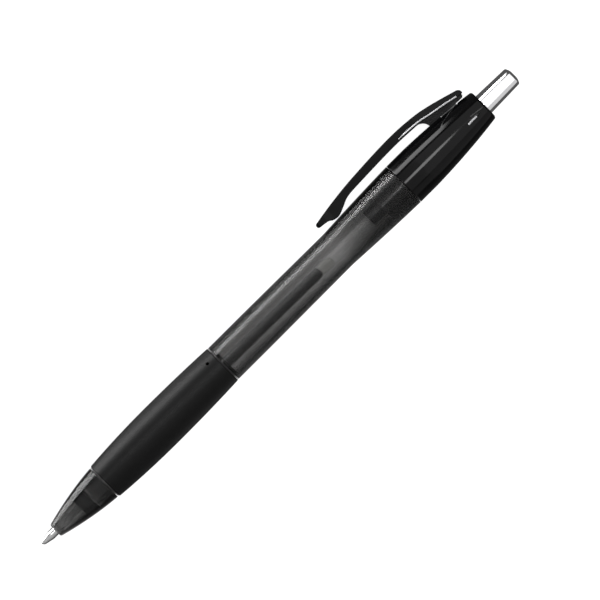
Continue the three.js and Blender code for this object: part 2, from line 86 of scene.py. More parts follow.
# ---- Sizes, in millimetres -----------------------------------------------------------------

SEAM = 0.1  # between two fixed pieces that meet end to end
GAP = 0.15  # round a piece that sits in a bore
SHELL_SIDES = 144
SMALL_SIDES = 64
TINY = 1e-6

nose_front, nose_rear = span("nose_cone")
spigot_front, barrel_rear = span("barrel")
grip_front, grip_rear = span("grip")
sleeve_front, housing_rear = span("upper_housing")
guide_front, guide_rear = span("cam_guide")
button_front, button_end = span("button")
button_end -= SKIN
rotor_front, rotor_rear = span("rotor")
spring_front, spring_rear = span("spring")
tip_front, tip_rear = span("writing_tip")
holder_front, holder_rear = span("tip_holder")
tube_front, tube_rear = span("refill_tube")
ink_front, ink_rear = span("ink")
grease_front, grease_rear = span("follower_grease")
plug_front, plug_rear = span("tail_plug")
clip_tip, clip_rear = span("clip")

housing_radius = radius_of("upper_housing")
belly_radius = radius_of("grip")
tube_radius = radius_of("refill_tube")
button_radius = radius_of("button")
ball_radius = radius_of("writing_ball")
nose_radius = radius_of("nose_cone")

SHANK_RADIUS = 1.03
TUBE_BORE = 1.2
PLUG_RADIUS = TUBE_BORE - 0.08
NOSE_FACE_RADIUS = 1.3
NOSE_FRONT_RADIUS = 1.87
NOSE_POCKET = 2.15
GRIP_FRONT_RADIUS = 4.49
GRIP_REAR_RADIUS = 4.76
BARREL_RADIUS = 4.7
WAIST_RADIUS = 4.57
BARREL_BORE = 3.65
CORE_RADIUS = 3.6
CORE_BORE = 2.4
SPIGOT_BORE = 2.2
THREAD_RADIUS = 3.0
THREAD_DEPTH = 0.25
THREAD_PITCH = 0.75
SLEEVE_RADIUS = 4.26
HOUSING_BORE = 3.5
HOUSING_REAR_RADIUS = 3.9
ROTOR_RADIUS = 2.05
SPRING_WIRE = 0.3
FLARE_LENGTH = 19.8
VENT_RADIUS = 0.4
VENT_FROM_REAR = 2.2
VENT_ANGLE = 60
WINDOW_FROM_REAR = 3.8
CLIP_THICKNESS = 2.13
CLIP_TIP_WIDTH = 3.4
CLIP_ROOT_WIDTH = 4.2
CLIP_WEB_WIDTH = 2.6
CLIP_TRAVEL = 4.0
CLIP_DRAFT = 12
CLIP_RISE = 4.0
CROWN_FROM_TIP = 23.4
PIVOT_FROM_REAR = 4.35
REFILL_SAG = 0.55
SAG_FROM = 30
SAG_LENGTH = 18

housing_front = barrel_rear + SEAM
collar_front = nose_rear + SEAM
collar_rear = grip_front - SEAM
body_front = grip_rear + SEAM
flare_front = barrel_rear - FLARE_LENGTH
housing_wall = guide_rear + SEAM
spring_seat = spring_front - SEAM
clip_crown = housing_radius + CLIP_RISE
clip_under = clip_crown - CLIP_THICKNESS
crown_station = clip_tip + CROWN_FROM_TIP
clip_pivot = clip_rear - PIVOT_FROM_REAR
window = housing_rear - WINDOW_FROM_REAR


# ---- Outlines ------------------------------------------------------------------------------

REAL_CORNER = math.radians(25)
LONGEST_REACH = 0.45
SUPPORT_REACH = 0.1


def bend(start, towards, end, steps):
    """Points of a bend from start to end, pulled towards a third point."""
    points = []
    for i in range(steps + 1):
        t = i / steps
        points.append(tuple(
            (1 - t) ** 2 * a + 2 * t * (1 - t) * b + t * t * c
            for a, b, c in zip(start, towards, end)
        ))
    return points


def through(points, steps):
    """A smooth line through the points given (uniform Catmull-Rom)."""
    line = []
    count = len(points) - 1
    for i in range(steps + 1):
        place = i / steps * count
        k = min(int(place), count - 1)
        t = place - k
        p = [points[min(max(k + d, 0), count)] for d in (-1, 0, 1, 2)]
        line.append(tuple(
            0.5 * (2 * b + (c - a) * t + (2 * a - 5 * b + 4 * c - d) * t * t
                   + (3 * b - a - 3 * c + d) * t ** 3)
            for a, b, c, d in zip(*p)
        ))
    return line


def soften(outline, size, steps=3):
    """The same outline with its corners rounded.

    An open outline keeps its two ends. A supporting point on each side of a rounded corner
    keeps the shading of the long faces beside it even.
    """
    closed = outline[0] == outline[-1]
    points = outline[:-1] if closed else list(outline)
    result = []
    for i, here in enumerate(points):
        before = Vector(points[i - 1]) - Vector(here)
        after = Vector(points[(i + 1) % len(points)]) - Vector(here)
        is_end = not closed and i in (0, len(points) - 1)
        if is_end or min(before.length, after.length) < TINY:
            result.append(here)
            continue
        if math.pi - before.angle(after) < REAL_CORNER:
            result.append(here)
            continue
        reach = min(size, LONGEST_REACH * before.length, LONGEST_REACH * after.length)
        support = 1 + min(1.0, SUPPORT_REACH * min(before.length, after.length) / reach)
        start = Vector(here) + before.normalized() * reach
        end = Vector(here) + after.normalized() * reach
        result.append(tuple(Vector(here) + before.normalized() * reach * support))
        result += bend(tuple(start), here, tuple(end), steps)
        result.append(tuple(Vector(here) + after.normalized() * reach * support))
    return result + [result[0]] if closed else result


# ---- Mesh making ---------------------------------------------------------------------------

SHARP = math.radians(32)
WELD = 1e-5


def smooth_step(value):
    """Rises smoothly from 0 to 1 as the value does."""
    value = min(max(value, 0.0), 1.0)
    return value * value * (3 - 2 * value)


def lean(bm):
    """Lets the slack refill rest to one side of the barrel behind its straight front."""
    for vert in bm.verts:
        vert.co.y -= REFILL_SAG * smooth_step((vert.co.x - SAG_FROM) / SAG_LENGTH)
    return bm


def finish_mesh(name, bm, material, body, nodes):
    """Turns a bmesh in pen space into a piece that rides on a body."""
    bmesh.ops.remove_doubles(bm, verts=bm.verts, dist=WELD)
    bmesh.ops.recalc_face_normals(bm, faces=bm.faces)
    mesh = bpy.data.meshes.new(name)
    bm.to_mesh(mesh)
    bm.free()
    mesh.transform(in_row)
    mesh.shade_smooth()
    mesh.set_sharp_from_angle(angle=SHARP)
    piece = bpy.data.objects.new(name, mesh)
    bpy.context.scene.collection.objects.link(piece)
    mesh.materials.append(material)
    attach(piece, body)
    if nodes:
        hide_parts(*nodes)
    piece.visible_shadow = material not in SHADOWLESS
    return piece


def turned(outline, sides, shape=None):
    """A bmesh turned about the axis; shape(station, radius, angle) may give another radius."""
    bm = bmesh.new()
    closed = outline[0] == outline[-1]
    points = outline[:-1] if closed else outline
    rings = []
    for station, radius in points:
        if radius < TINY:
            rings.append([bm.verts.new((station, 0, 0))])
            continue
        ring = []
        for k in range(sides):
            angle = 2 * math.pi * k / sides
            r = shape(station, radius, angle) if shape else radius
            ring.append(bm.verts.new((station, r * math.cos(angle), r * math.sin(angle))))
        rings.append(ring)
    pairs = list(zip(rings, rings[1:] + ([rings[0]] if closed else [])))
    for first, second in pairs:
        for k in range(sides):
            n = (k + 1) % sides
            corners = [first[k % len(first)], first[n % len(first)],
                       second[n % len(second)], second[k % len(second)]]
            corners = list(dict.fromkeys(corners))
            if len(corners) > 2:
                bm.faces.new(corners)
    return bm


def hollow(outside, bore):
    """Closed outline of a tube: the outside and the bore both run from front to rear."""
    return [*outside, *reversed(bore), outside[0]]


def prism(outline, low, high):
    """A bmesh of a flat outline in x and y, thickened along z."""
    bm = bmesh.new()
    lower = [bm.verts.new((x, y, low)) for x, y in outline]
    upper = [bm.verts.new((x, y, high)) for x, y in outline]
    bm.faces.new(lower[::-1])
    bm.faces.new(upper)
    for i in range(len(outline)):
        n = (i + 1) % len(outline)
        bm.faces.new((lower[i], lower[n], upper[n], upper[i]))
    return bm


def loft(sections):
    """A bmesh through rings of points, closed at both ends."""
    bm = bmesh.new()
    rings = [[bm.verts.new(p) for p in section] for section in sections]
    for first, second in zip(rings, rings[1:]):
        for k in range(len(first)):
            n = (k + 1) % len(first)
            bm.faces.new((first[k], first[n], second[n], second[k]))
    bm.faces.new(rings[0][::-1])
    bm.faces.new(rings[-1])
    return bm


def combined(base, tools, operation):
    """base, with each of the tools cut away from it or joined to it."""
    made = []
    for i, bm in enumerate([base, *tools]):
        bmesh.ops.recalc_face_normals(bm, faces=bm.faces)
        mesh = bpy.data.meshes.new(f"solid_{i}")
        bm.to_mesh(mesh)
        bm.free()
        solid = bpy.data.objects.new(f"solid_{i}", mesh)
        bpy.context.scene.collection.objects.link(solid)
        made.append(solid)
    for tool in made[1:]:
        step = made[0].modifiers.new("step", "BOOLEAN")
        step.operation = operation
        step.solver = "EXACT"
        step.object = tool
    bpy.context.view_layer.update()
    result = made[0].evaluated_get(bpy.context.evaluated_depsgraph_get()).to_mesh()
    bm = bmesh.new()
    bm.from_mesh(result)
    for solid in made:
        mesh = solid.data
        bpy.data.objects.remove(solid)
        bpy.data.meshes.remove(mesh)
    return bm


# ---- Materials -----------------------------------------------------------------------------

class Maker:
    """Builds one node material round a Principled shader."""

    def __init__(self, name):
        self.material = bpy.data.materials.new(name)
        self.material.use_nodes = True
        self.nodes = self.material.node_tree.nodes
        self.links = self.material.node_tree.links
        self.shader = self.nodes["Principled BSDF"]
        self.place = self.nodes.new("ShaderNodeTexCoord").outputs["Object"]

    def set(self, **values):
        """Sets the shader's own sockets."""
        names = {"color": "Base Color", "metal": "Metallic", "ior": "IOR", "rough": "Roughness",
                 "clear": "Transmission Weight", "level": "Specular IOR Level",
                 "coat": "Coat Weight", "coat_rough": "Coat Roughness",
                 "sheen": "Sheen Weight", "sheen_rough": "Sheen Roughness"}
        for key, value in values.items():
            if key == "color":
                value = (*value, 1)
            self.shader.inputs[names[key]].default_value = value
        return self

    def noise(self, scale, detail, stretch=(1, 1, 1)):
        """Noise over the piece, stretched along an axis where its factor is small."""
        mapping = self.nodes.new("ShaderNodeMapping")
        mapping.inputs["Scale"].default_value = stretch
        self.links.new(self.place, mapping.inputs["Vector"])
        noise = self.nodes.new("ShaderNodeTexNoise")
        noise.inputs["Scale"].default_value = scale
        noise.inputs["Detail"].default_value = detail
        self.links.new(mapping.outputs["Vector"], noise.inputs["Vector"])
        return noise.outputs["Fac"]

    def ranged(self, source, low, high):
        """A noise's usual range, spread over low to high."""
        ramp = self.nodes.new("ShaderNodeMapRange")
        ramp.inputs["From Min"].default_value = 0.3
        ramp.inputs["From Max"].default_value = 0.7
        ramp.inputs["To Min"].default_value = low
        ramp.inputs["To Max"].default_value = high
        self.links.new(source, ramp.inputs["Value"])
        return ramp.outputs["Result"]

    def roughness(self, source, low, high):
        self.links.new(self.ranged(source, low, high), self.shader.inputs["Roughness"])
        return self

    def colours(self, source, dark, light):
        mix = self.nodes.new("ShaderNodeMix")
        mix.data_type = "RGBA"
        mix.inputs["A"].default_value = (*dark, 1)
        mix.inputs["B"].default_value = (*light, 1)
        self.links.new(self.ranged(source, 0, 1), mix.inputs["Factor"])
        self.links.new(mix.outputs["Result"], self.shader.inputs["Base Color"])
        return self

    def bump(self, source, depth, strength):
        """Adds a relief, on top of an earlier one."""
        bump = self.nodes.new("ShaderNodeBump")
        bump.inputs["Strength"].default_value = strength
        bump.inputs["Distance"].default_value = depth
        self.links.new(source, bump.inputs["Height"])
        if self.shader.inputs["Normal"].is_linked:
            earlier = self.shader.inputs["Normal"].links[0].from_socket
            self.links.new(earlier, bump.inputs["Normal"])
        self.links.new(bump.outputs["Normal"], self.shader.inputs["Normal"])
        return self

    def absorbs(self, color, density):
        volume = self.nodes.new("ShaderNodeVolumeAbsorption")
        volume.inputs["Color"].default_value = (*color, 1)
        volume.inputs["Density"].default_value = density
        self.links.new(volume.outputs["Volume"], self.nodes["Material Output"].inputs["Volume"])
        return self


def smoke_plastic(name, density, coat):
    """Clear smoke plastic. Its gloss is all in the coat, since a mirror surface would speckle."""
    made = Maker(name).set(color=(1, 1, 1), clear=1.0, ior=1.002, rough=0.0,
                           coat=coat, coat_rough=0.17)
    made.bump(made.noise(160, 2, (0.4, 1, 1)), 0.00001, 0.02)
    return made.absorbs((0.03, 0.025, 0.02), density).material


def satin_smoke():
    made = Maker("satin_smoke").set(ior=1.25)
    made.colours(made.noise(600, 3), (0.03, 0.03, 0.03), (0.05, 0.05, 0.05))
    made.roughness(made.noise(1500, 3), 0.3, 0.45)
    return made.bump(made.noise(5000, 2), 0.00001, 0.3).material


def grip_rubber():
    made = Maker("grip_rubber").set(ior=1.24, sheen=0.01, sheen_rough=0.45)
    made.colours(made.noise(700, 4), (0.001, 0.001, 0.001), (0.002, 0.002, 0.002))
    made.roughness(made.noise(2600, 3), 0.38, 0.46)
    made.bump(made.noise(9000, 2), 0.00002, 0.35)
    return made.bump(made.noise(900, 3), 0.00003, 0.2).material


def black_plastic():
    made = Maker("black_plastic").set(ior=1.26)
    made.colours(made.noise(300, 3), (0.001, 0.001, 0.0011), (0.002, 0.002, 0.0021))
    made.roughness(made.noise(1500, 4, (0.2, 1, 1)), 0.07, 0.13)
    return made.bump(made.noise(240, 2), 0.00001, 0.25).material


def dark_plastic():
    made = Maker("dark_plastic").set(ior=1.3)
    made.colours(made.noise(500, 3), (0.006, 0.006, 0.0065), (0.011, 0.011, 0.0115))
    made.roughness(made.noise(1800, 3), 0.25, 0.38)
    return made.bump(made.noise(4000, 2), 0.00001, 0.3).material


def chrome():
    made = Maker("chrome").set(metal=1.0)
    made.colours(made.noise(400, 3), (0.80, 0.80, 0.815), (0.86, 0.86, 0.87))
    made.roughness(made.noise(2500, 4, (0.15, 1, 1)), 0.05, 0.11)
    return made.bump(made.noise(500, 2), 0.00001, 0.15).material


def turned_steel(name, dark, light):
    made = Maker(name).set(metal=1.0)
    made.colours(made.noise(1500, 3), (dark, dark, dark), (light, light, light))
    made.roughness(made.noise(3000, 3), 0.1, 0.18)
    return made.bump(made.noise(9000, 2, (1, 0.05, 0.05)), 0.00001, 0.4).material


def tube_plastic():
    made = Maker("tube_plastic").set(color=(0.98, 0.98, 0.98), clear=0.985, ior=1.03,
                                     rough=0.0, coat=0.45, coat_rough=0.1)
    made.bump(made.noise(500, 2, (0.2, 1, 1)), 0.00001, 0.05)
    return made.absorbs((0.6, 0.61, 0.62), 200).material


def black_ink():
    made = Maker("black_ink").set(ior=1.3, level=0.3)
    made.colours(made.noise(250, 3), (0.001, 0.001, 0.0011), (0.003, 0.003, 0.0032))
    made.roughness(made.noise(900, 2), 0.1, 0.2)
    return made.bump(made.noise(400, 2), 0.00002, 0.3).material


# Painted highlight: a bright grey metal for thin strips on the black plastic clip and housing, so
# that their edges show as bright lines.
def highlight_paint_metal():
    made = Maker("highlight_paint_metal").set(metal=1.0)
    made.colours(made.noise(300, 3), (0.44, 0.44, 0.45), (0.54, 0.54, 0.55))
    made.roughness(made.noise(1500, 4, (0.2, 1, 1)), 0.3, 0.38)
    return made.bump(made.noise(240, 2), 0.00001, 0.1).material


def sleeve_black():
    made = Maker("sleeve_black").set(ior=1.3, level=0.2)
    made.colours(made.noise(300, 3), (0.002, 0.002, 0.0022), (0.004, 0.004, 0.0042))
    made.roughness(made.noise(1500, 4), 0.45, 0.6)
    return made.bump(made.noise(2400, 2), 0.00001, 0.2).material


def clear_grease():
    made = Maker("clear_grease").set(color=(0.9, 0.9, 0.88), clear=0.97, ior=1.1)
    made.roughness(made.noise(700, 3), 0.02, 0.08)
    made.bump(made.noise(500, 2), 0.00001, 0.2)
    return made.absorbs((0.6, 0.6, 0.56), 320).material


SMOKE = smoke_plastic("smoke_plastic", density=1230, coat=0.4)
NOSE_SMOKE = smoke_plastic("nose_smoke_plastic", density=1350, coat=0.58)
SATIN = satin_smoke()
RUBBER = grip_rubber()
BLACK = black_plastic()
DARK = dark_plastic()
CHROME = chrome()
STEEL = turned_steel("turned_steel", dark=0.44, light=0.56)
WIRE = turned_steel("spring_steel", dark=0.05, light=0.09)
TUBE = tube_plastic()
INK = black_ink()
GREASE = clear_grease()
HIGHLIGHT_PAINT = highlight_paint_metal()
SLEEVE = sleeve_black()
SHADOWLESS = (SMOKE, TUBE, GREASE)


# ---- Nose, barrel and grip -----------------------------------------------------------------

def make_nose():
    length = nose_rear - nose_front
    lip, lip_corner = 0.7, 0.12
    outside = [
        (nose_front, NOSE_FACE_RADIUS),
        *bend((nose_front + 0.03, NOSE_FACE_RADIUS + lip_corner),
              (nose_front, NOSE_FRONT_RADIUS - 0.1),
              (nose_front + lip, NOSE_FRONT_RADIUS), 6),
        *bend((nose_front + lip, NOSE_FRONT_RADIUS),
              (nose_front + 0.55 * length, nose_radius - 0.51), (nose_rear, nose_radius), 28)[1:],
    ]
    throat = SHANK_RADIUS + 0.09
    throat_length = 1.2
    seat_wall = 1.0
    pocket = tube_radius + 0.35
    pocket_rear = spring_seat + NOSE_POCKET
    socket = THREAD_RADIUS + GAP
    bore = [
        (nose_front, throat),
        (nose_front + throat_length, throat),
        *bend((nose_front + 1.5, throat + 0.25), (nose_front + 4.2, throat + 0.75),
              (spring_seat - seat_wall, tube_radius + 0.72), 10),
        (spring_seat - seat_wall, throat),
        (spring_seat, throat),
        (spring_seat, pocket),
        (pocket_rear, pocket),
        (pocket_rear, socket),
        (nose_rear, socket),
    ]
    bm = turned(soften(hollow(outside, bore), 0.12), SHELL_SIDES)
    finish_mesh("nose_cone_clear", bm, NOSE_SMOKE, "pen_body", ["nose_cone"])


def thread(station, radius, angle):
    """A screw thread round the barrel's spigot, fading out at both ends."""
    fade_length = 0.4
    start, end = spigot_front + 0.4, collar_front - 0.35
    is_root = abs(radius - (THREAD_RADIUS - THREAD_DEPTH)) <= TINY
    if not is_root or not start < station < end:
        return radius
    turn = (station / THREAD_PITCH + angle / (2 * math.pi)) % 1
    crest = min(1.0, 1.25 * (1 - abs(2 * turn - 1)))
    fade = min(1.0, (station - start) / fade_length, (end - station) / fade_length)
    return radius + THREAD_DEPTH * crest * fade


def make_barrel():
    root = THREAD_RADIUS - THREAD_DEPTH
    steps = 64
    spigot = [(spigot_front + (collar_front - spigot_front) * i / steps, root)
              for i in range(steps + 1)]
    shoulder = body_front + 0.2
    bore_front = body_front + 0.9
    outside = [
        *spigot,
        (collar_front, root),
        (collar_front, CORE_RADIUS),
        (body_front, CORE_RADIUS),
        (shoulder, CORE_RADIUS),
        (shoulder, BARREL_RADIUS),
        (body_front + 0.3 * (flare_front - body_front), BARREL_RADIUS),
        *bend((flare_front, WAIST_RADIUS),
              (flare_front + 0.53 * FLARE_LENGTH, housing_radius - 0.21),
              (barrel_rear, housing_radius), 24),
    ]
    bore = [
        (spigot_front, SPIGOT_BORE),
        (collar_rear, SPIGOT_BORE),
        (collar_rear, CORE_BORE),
        (bore_front, CORE_BORE),
        (bore_front, BARREL_BORE),
        (sleeve_front - SEAM, BARREL_BORE),
        (sleeve_front - SEAM, SLEEVE_RADIUS + SEAM),
        (barrel_rear, SLEEVE_RADIUS + SEAM),
    ]
    bm = turned(soften(hollow(outside, bore), 0.1, 2), SHELL_SIDES, thread)
    finish_mesh("barrel_clear", bm, SMOKE, "pen_body", ["barrel"])


def make_collars():
    """The two satin rims of the barrel, which show as fine lines at the ends of the grip."""
    front_width, rear_width = 0.15, 0.13
    front_inset = 0.06
    for name, front, rear, radius in (
        ("front_collar", collar_rear - front_width, collar_rear, nose_radius - front_inset),
        ("rear_collar", body_front, body_front + rear_width, BARREL_RADIUS),
    ):
        ring = hollow([(front, radius), (rear, radius)],
                      [(front, CORE_RADIUS), (rear, CORE_RADIUS)])
        finish_mesh(name, turned(soften(ring, 0.03, 2), SHELL_SIDES), SATIN, "pen_body", [])


def make_grip():
    length = grip_rear - grip_front
    belly = grip_front + 0.48 * length
    outside = [
        (grip_front, GRIP_FRONT_RADIUS - 0.05),
        *bend((grip_front + 0.05, GRIP_FRONT_RADIUS), (grip_front + 0.23 * length, belly_radius),
              (belly, belly_radius), 20),
        *bend((belly, belly_radius), (belly + 0.28 * length, belly_radius),
              (grip_rear, GRIP_REAR_RADIUS), 20)[1:],
    ]
    bore = [(grip_front, CORE_RADIUS + GAP), (grip_rear, CORE_RADIUS + GAP)]
    bm = turned(soften(hollow(outside, bore), 0.18), SHELL_SIDES)
    vent_depth = 4
    vent = turned([(0, 0), (0, VENT_RADIUS), (vent_depth, VENT_RADIUS), (vent_depth, 0)], 32)
    outwards = Matrix.Rotation(math.radians(VENT_ANGLE), 4, "X")
    outwards = outwards @ Matrix.Rotation(math.radians(90), 4, "Z")
    placed = Matrix.Translation((grip_rear - VENT_FROM_REAR, 0, 0)) @ outwards
    placed = placed @ Matrix.Translation((CORE_RADIUS - 1, 0, 0))
    bmesh.ops.transform(vent, matrix=placed, verts=vent.verts)
    finish_mesh("grip_sleeve", combined(bm, [vent], "DIFFERENCE"), RUBBER, "pen_body",
                ["grip"])


# ---- Housing, clip and button --------------------------------------------------------------

STRIP_LIFT = 0.02


def housing_outline():
    """Outside of the housing behind the barrel: a straight part, a taper and a round rear edge."""
    shoulder = housing_front + 5.2
    edge = 0.6
    taper_rear = (housing_rear - edge, HOUSING_REAR_RADIUS)
    return [
        (housing_front, housing_radius),
        *bend((shoulder, housing_radius), (shoulder + 10.4, housing_radius - 0.31), taper_rear, 60),
        *bend(taper_rear, (housing_rear, HOUSING_REAR_RADIUS - 0.05),
              (housing_rear, HOUSING_REAR_RADIUS - edge), 6)[1:],
    ]


def moulded_lines(station, radius, angle):
    """The fine raised lower edge of the clip's seat, on both sides of the housing."""
    if radius < HOUSING_REAR_RADIUS - 0.5 or station < housing_front + 1:
        return radius
    seat_front, seat_rear = housing_front + 14.4, housing_rear - 3.9
    front_degrees, rear_degrees = 50, 19
    height, half_width, fade = 0.09, 3.2, 0.1
    share = (station - seat_front) / (seat_rear - seat_front)
    if not 0 <= share <= 1:
        return radius
    from_clip = math.degrees(min(angle, 2 * math.pi - angle))
    line = front_degrees + (rear_degrees - front_degrees) * share
    lift = height * max(0.0, 1 - abs(from_clip - line) / half_width)
    return radius + lift * min(1.0, share / fade, (1 - share) / fade)


def leaf(station, height, half_length, half_height, low, high):
    """A leaf-shaped prism, pointed at its front and rear."""
    front, rear = (station - half_length, height), (station + half_length, height)
    upper = bend(front, (station, height + 2 * half_height), rear, 12)
    lower = bend(rear, (station, height - 2 * half_height), front, 12)
    return prism([*upper, *lower[1:-1]], low, high)


def make_housing():
    outside = [(sleeve_front, SLEEVE_RADIUS), (housing_front, SLEEVE_RADIUS), *housing_outline()]
    button_bore = button_radius + GAP
    bore = [
        (sleeve_front, HOUSING_BORE),
        (housing_wall, HOUSING_BORE),
        (housing_wall, button_bore),
        (housing_rear, button_bore),
    ]
    bm = turned(soften(hollow(outside, bore), 0.1), 3 * SHELL_SIDES, moulded_lines)
    slot_front, slot_rear = clip_rear - 7.05, clip_rear - 2.35
    slot_low, slot_high, slot_half_width = 3.3, 9, 1.25
    slot = prism([(slot_front, slot_low), (slot_rear, slot_low), (slot_rear, slot_high),
                  (slot_front, slot_high)], -slot_half_width, slot_half_width)
    inner, outer = 2.5, 6
    near_window = leaf(window, -0.6, 2.0, 0.45, inner, outer)
    far_window = leaf(window, -0.6, 2.0, 0.45, -outer, -inner)
    cuts = [slot, near_window, far_window]
    housing = finish_mesh("housing_gloss", combined(bm, cuts, "DIFFERENCE"), BLACK, "pen_body",
                          ["upper_housing"])
    housing.data.materials.append(SLEEVE)
    sleeve_end = point_x + (housing_front - 0.05) * MM
    for face in housing.data.polygons:
        if face.center.x < sleeve_end:
            face.material_index = 1


def make_housing_lines():
    """The window's upper lip, a painted highlight of bright metal on the black housing, the clip
    seat's upper edge and the parting line.
    """
    upper_lip = [(window - 1.7, -0.86), (window - 0.5, -0.78), (window + 0.8, -0.82)]
    seat_line = [(window - 6.0, 3.2), (window - 3.2, 3.8), (window - 0.6, 4.2)]
    parting = [(window - 0.2, 0.13), (window + 1.6, -0.08), (window + 3.2, -0.27)]
    for name, line, width, material in (("window_lip_highlight", upper_lip, 0.3, HIGHLIGHT_PAINT),
                                        ("seat_line", seat_line, 0.18, SATIN),
                                        ("parting_line", parting, 0.18, SATIN)):
        for side, where in ((1, "near"), (-1, "far")):
            strip = edge_strip(line, [housing_depth(*point) for point in line], width, side)
            finish_mesh(f"{name}_{where}", strip, material, "pen_body", [])


def housing_depth(station, height):
    """Distance from the axis plane at which a strip lies on the housing's side."""
    radius = height_at(housing_outline(), station)
    return math.sqrt(max(0.0, radius ** 2 - height ** 2)) + STRIP_LIFT


def edge_strip(line, depth, width, side):
    """A thin strip along a line at the pen's side, its upper face tilted up towards the clip."""
    rise, out = width * 0.94, width * 0.34
    root = 0.3
    sections = []
    for (station, height), z in zip(line, depth):
        sections.append([
            (station, height + rise, side * (z - STRIP_LIFT)),
            (station, height, side * (z + out)),
            (station, height - 0.1, side * (z + out - 0.05)),
            (station, height - 0.2, side * (z - root)),
            (station, height + rise, side * (z - root)),
        ])
    return loft(sections)


def height_at(line, station):
    """Height of a line, given as points, at a station; its nearer end's height beyond it."""
    for (x0, y0), (x1, y1) in zip(line, line[1:]):
        if min(x0, x1) <= station <= max(x0, x1) and x0 != x1:
            return y0 + (y1 - y0) * (station - x0) / (x1 - x0)
    is_behind = abs(station - line[-1][0]) < abs(station - line[0][0])
    return line[-1][1] if is_behind else line[0][1]


def clip_lines():
    """The clip's back and its belly, with the bump under its tip."""
    bump_foot = WAIST_RADIUS + 0.42
    back = through([
        (clip_tip, clip_crown - 2.16),
        (clip_tip + 6.1, clip_crown - 1.19),
        (clip_tip + 13, clip_crown - 0.48),
        (crown_station, clip_crown),
        (crown_station + 7, clip_crown - 0.28),
        (clip_rear - 7.35, clip_crown - 1.13),
        (clip_rear, clip_crown - 3.15),
    ], 70)
    belly = through([
        (clip_tip, clip_crown - 3.2),
        (clip_tip + 2.6, clip_crown - 3.55),
        (clip_tip + 3.6, bump_foot + 0.22),
        (clip_tip + 5.2, bump_foot),
        (clip_tip + 7.2, bump_foot + 0.75),
        (clip_tip + 9.4, clip_under - 0.6),
        (clip_tip + 13, clip_under - 0.31),
        (crown_station, clip_under),
        (clip_rear - 13, clip_under - 0.2),
        (clip_rear - 10.8, clip_crown - 2.56),
        (clip_rear - 5, clip_crown - 3.5),
        (clip_rear, clip_crown - 4.4),
    ], 100)
    return back, belly


def slab_section(station, low, high, half_width):
    """A bar section whose sides lean in towards the top, with small round edges."""
    thickness = high - low
    corner = min(0.16, 0.3 * thickness, 0.4 * half_width)
    lean_in = min(math.tan(math.radians(CLIP_DRAFT)) * thickness, 0.4 * half_width)
    top_half = half_width - lean_in
    corners = [(top_half, high, 0, 90 - CLIP_DRAFT), (-top_half, high, 90 + CLIP_DRAFT, 180),
               (-half_width, low, 180 + CLIP_DRAFT, 270), (half_width, low, 270, 360 - CLIP_DRAFT)]
    steps = 4
    ring = []
    for index, (z, y, start, end) in enumerate(corners):
        centre_z = z - math.copysign(corner, z)
        centre_y = y - corner if index < 2 else y + corner
        for k in range(steps + 1):
            angle = math.radians(start + (end - start) * k / steps)
            ring.append((station, centre_y + corner * math.sin(angle),
                         centre_z + corner * math.cos(angle)))
    return ring


def clip_half_width(station):
    share = (station - clip_tip) / (clip_rear - clip_tip)
    return (CLIP_TIP_WIDTH + (CLIP_ROOT_WIDTH - CLIP_TIP_WIDTH) * share) / 2


def quarter_round(distance, length):
    """1 at the end of a bar, falling as a quarter circle to 0 at the length given from it."""
    share = distance / length
    return 1 - math.sqrt(max(0.0, 1 - (1 - share) ** 2)) if share < 1 else 0.0


def clip_slab():
    back, belly = clip_lines()
    plan_length, front_length, rear_length = 1.3, 0.5, 0.8
    steps = 120
    sections = []
    for i in range(steps + 1):
        inset = 0.5 * (1 - math.cos(math.pi * i / steps))
        station = clip_tip + (clip_rear - clip_tip) * inset
        from_tip, from_rear = station - clip_tip, clip_rear - station
        half = clip_half_width(station) * max(0.12, 1 - quarter_round(from_tip, plan_length))
        rear_round = quarter_round(from_rear, rear_length)
        front_round = quarter_round(from_tip, front_length)
        low = height_at(belly, station) + 0.25 * rear_round + 0.4 * front_round
        high = height_at(back, station) - 0.62 * rear_round - 0.4 * front_round
        sections.append(slab_section(station, low, high, half))
    return loft(sections)


def clip_web():
    """The web under the clip's root, cut back so that it clears the housing as the clip lifts."""
    web_front = clip_rear - 10.2
    web_low = housing_radius - 1.2
    outline = [
        *bend((clip_rear - 13.2, clip_under + 0.1), (web_front + 0.15, clip_under - 0.35),
              (web_front + 0.1, housing_radius - 0.6), 12),
        (web_front + 0.4, web_low),
        (clip_rear - 1.0, web_low),
        (clip_rear - 0.35, clip_crown - 4.6),
        (clip_rear - 0.5, clip_crown - 3.6),
        (clip_rear - 6, clip_crown - 2.3),
    ]
    web = prism(outline, -CLIP_WEB_WIDTH / 2, CLIP_WEB_WIDTH / 2)
    side_draft = 0.16
    for vert in web.verts:
        vert.co.z *= 1 - side_draft * (clip_crown - 2 - vert.co.y) / CLIP_WEB_WIDTH
    clearance, margin = 0.05, 1.3
    dip = math.tan(math.radians(CLIP_TRAVEL)) * margin
    cleared = [(station, radius + clearance + dip * max(0.0, station - clip_pivot))
               for station, radius in housing_outline()]
    room = turned([(housing_front, 0), *cleared, (housing_rear, 0)], 96)
    return combined(web, [room], "DIFFERENCE")


def make_clip():
    tang_front, tang_rear = clip_rear - 6.75, clip_rear - 2.65
    tang_low, tang_high, tang_half_width = 3.75, 5.3, 0.95
    tang = prism([(tang_front, tang_low), (tang_rear, tang_low), (tang_rear, tang_high),
                  (tang_front, tang_high)], -tang_half_width, tang_half_width)
    slab = clip_slab()
    finish_mesh("clip_gloss", combined(slab, [clip_web(), tang], "UNION"), BLACK, "pocket_clip",
                ["clip"])


